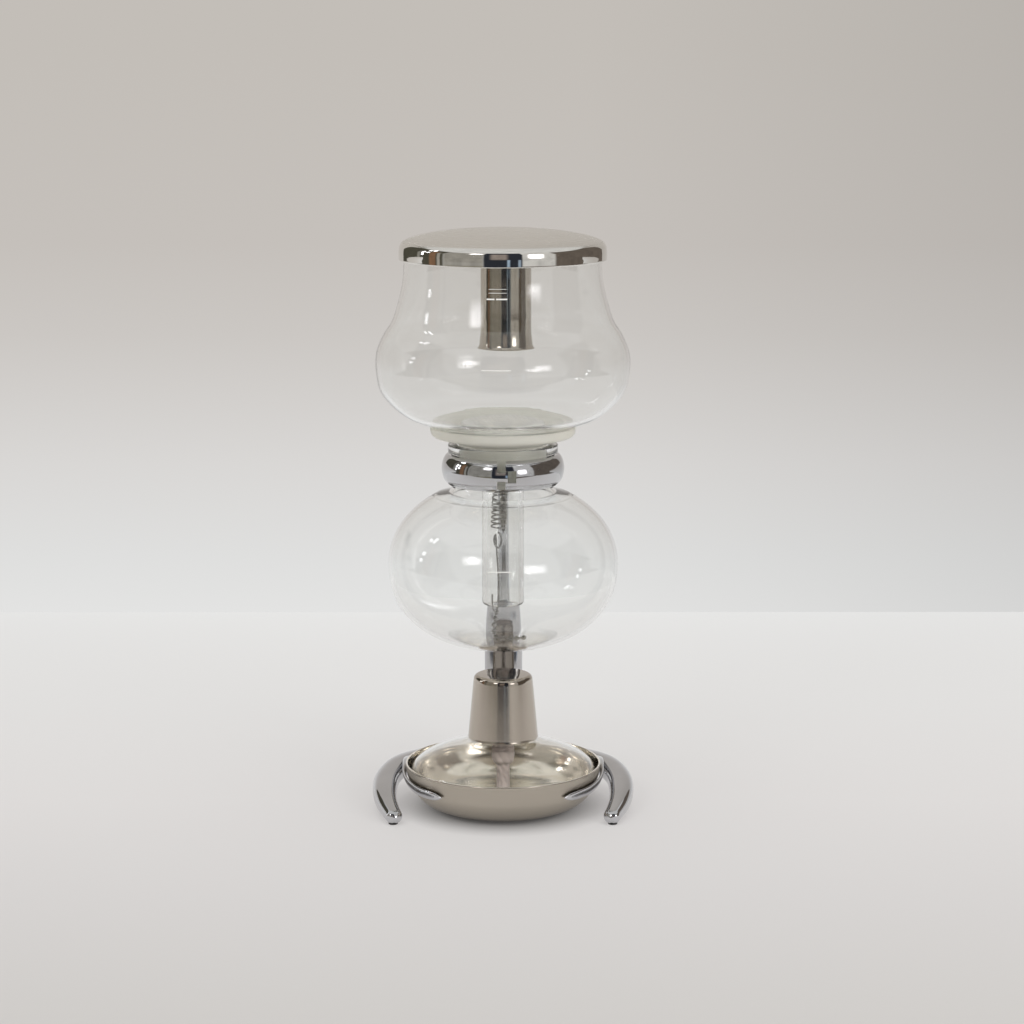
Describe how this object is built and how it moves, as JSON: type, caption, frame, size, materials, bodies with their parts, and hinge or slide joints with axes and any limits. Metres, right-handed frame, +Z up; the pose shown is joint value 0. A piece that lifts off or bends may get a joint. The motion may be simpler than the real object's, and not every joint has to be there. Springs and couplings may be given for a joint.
{
  "type": "vacuum coffee brewer",
  "caption": "Table-top vacuum coffee brewer: a stemmed glass bowl plugs into a glass globe held by a chromed column over a spirit lamp in a nickel dish, with a satin nickel lid.",
  "frame": {"origin": "on the table, below the middle of the two glass bowls and the lamp", "axes": "+Z up; +Y from the bowls' axis to the column at the rear, so the front faces -Y; +X to the right seen from the front"},
  "size_m": [0.1464, 0.1536, 0.3245],
  "materials": {
    "satin_nickel": "satin nickel plate with polished edges",
    "polished_chrome": "polished",
    "stainless_steel": "plain",
    "burner_brass": "nickelled, tarnished",
    "clear_glass": "clear, heat-proof",
    "silicone": "translucent, satin",
    "black_rubber": "matte",
    "cotton": "woven"
  },
  "bodies": {
    "stand": {"clamp_ring": "polished_chrome", "clamp_pad_left": "black_rubber", "clamp_pad_right": "black_rubber", "clamp_pad_rear_left": "black_rubber", "clamp_pad_rear_right": "black_rubber", "column_stud": "stainless_steel", "stand_column": "polished_chrome", "column_screw": "stainless_steel", "base_hub": "polished_chrome", "rear_foot_pad": "black_rubber", "arm_dowel_left": "stainless_steel", "arm_dowel_right": "stainless_steel", "base_arm_left": "polished_chrome", "base_arm_right": "polished_chrome", "foot_pad_left": "black_rubber", "foot_pad_right": "black_rubber", "lower_globe": "clear_glass"},
    "upper_bowl_set": {"upper_bowl": "clear_glass", "silicone_packing": "silicone", "filter_cloth": "cotton", "filter_disc_upper": "stainless_steel", "filter_disc_lower": "stainless_steel", "filter_stud": "stainless_steel", "filter_spring": "stainless_steel", "filter_hook": "stainless_steel", "bead_chain": "stainless_steel"},
    "lid": {"lid_cover": "satin_nickel", "lid_stand_tube": "satin_nickel"},
    "lamp": {"lamp_dish": "satin_nickel", "lamp_reservoir": "clear_glass"},
    "burner_head": {"burner_collar": "burner_brass", "collar_gasket": "black_rubber", "wick_tube": "burner_brass"},
    "wick": {"wick": "cotton"},
    "cap": {"snuffer_cap": "satin_nickel"}
  },
  "joints": [
    {"name": "bowl_lift", "type": "slide", "parent": "stand", "child": "upper_bowl_set", "axis": [0, 0, 1], "range_m": [0, 0.125]},
    {"name": "lid_lift", "type": "slide", "parent": "upper_bowl_set", "child": "lid", "axis": [0, 0, 1], "range_m": [0, 0.07]},
    {"name": "lamp_lift", "type": "slide", "parent": "stand", "child": "lamp", "axis": [0, 0, 1], "range_m": [0, 0.007]},
    {"name": "burner_lift", "type": "slide", "parent": "lamp", "child": "burner_head", "axis": [0, 0, 1], "range_m": [0, 0.003]},
    {"name": "wick_slide", "type": "slide", "parent": "burner_head", "child": "wick", "axis": [0, 0, 1], "range_m": [-0.003, 0.003]},
    {"name": "cap_lift", "type": "slide", "parent": "lamp", "child": "cap", "axis": [0, 0, 1], "range_m": [0, 0.006]}
  ]
}
